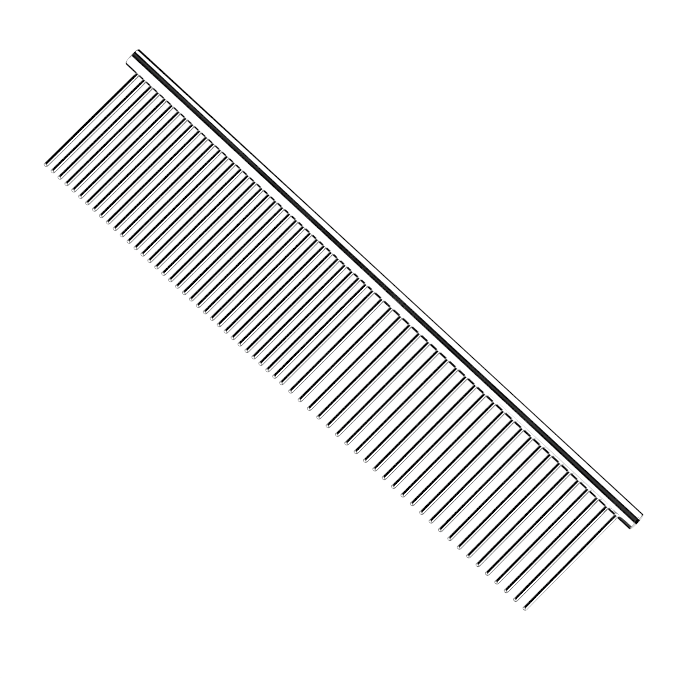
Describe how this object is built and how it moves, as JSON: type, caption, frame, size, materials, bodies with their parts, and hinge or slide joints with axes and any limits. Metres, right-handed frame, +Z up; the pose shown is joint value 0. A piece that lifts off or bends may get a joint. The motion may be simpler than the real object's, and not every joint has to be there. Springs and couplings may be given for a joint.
{
  "type": "grooming comb",
  "caption": "Polished steel pet grooming comb: a round spine with a row of long round pins, set closer at one end than at the other.",
  "frame": {"origin": "on the surface the comb lies on, under the middle of its bounding box", "axes": "+X along the spine from the finely spaced end to the coarsely spaced end, +Y from the teeth towards the spine, +Z up; the comb lies on its side, on the spine and the tips of its teeth"},
  "size_m": [0.19, 0.0424, 0.0056],
  "materials": {
    "spine": "mirror polished round bar with faint lengthwise polishing lines",
    "teeth": "polished drawn wire with rounded tips"
  },
  "bodies": {
    "root": {"spine": "spine", "fine_tooth_01": "teeth", "fine_tooth_02": "teeth", "fine_tooth_03": "teeth", "fine_tooth_04": "teeth", "fine_tooth_05": "teeth", "fine_tooth_06": "teeth", "fine_tooth_07": "teeth", "fine_tooth_08": "teeth", "fine_tooth_09": "teeth", "fine_tooth_10": "teeth", "fine_tooth_11": "teeth", "fine_tooth_12": "teeth", "fine_tooth_13": "teeth", "fine_tooth_14": "teeth", "fine_tooth_15": "teeth", "fine_tooth_16": "teeth", "fine_tooth_17": "teeth", "fine_tooth_18": "teeth", "fine_tooth_19": "teeth", "fine_tooth_20": "teeth", "fine_tooth_21": "teeth", "fine_tooth_22": "teeth", "fine_tooth_23": "teeth", "fine_tooth_24": "teeth", "fine_tooth_25": "teeth", "fine_tooth_26": "teeth", "fine_tooth_27": "teeth", "fine_tooth_28": "teeth", "fine_tooth_29": "teeth", "fine_tooth_30": "teeth", "fine_tooth_31": "teeth", "fine_tooth_32": "teeth", "fine_tooth_33": "teeth", "fine_teeth_34_to_35": "teeth", "coarse_tooth_01": "teeth", "coarse_tooth_02": "teeth", "coarse_tooth_03": "teeth", "coarse_tooth_04": "teeth", "coarse_tooth_05": "teeth", "coarse_tooth_06": "teeth", "coarse_tooth_07": "teeth", "coarse_tooth_08": "teeth", "coarse_tooth_09": "teeth", "coarse_tooth_10": "teeth", "coarse_tooth_11": "teeth", "coarse_tooth_12": "teeth", "coarse_tooth_13": "teeth", "coarse_tooth_14": "teeth", "coarse_tooth_15": "teeth", "coarse_tooth_16": "teeth", "coarse_tooth_17": "teeth", "coarse_tooth_18": "teeth", "coarse_tooth_19": "teeth", "coarse_tooth_20": "teeth", "coarse_tooth_21": "teeth", "coarse_tooth_22": "teeth", "coarse_tooth_23": "teeth", "coarse_tooth_24": "teeth", "coarse_teeth_25_to_26": "teeth"}
  },
  "joints": []
}
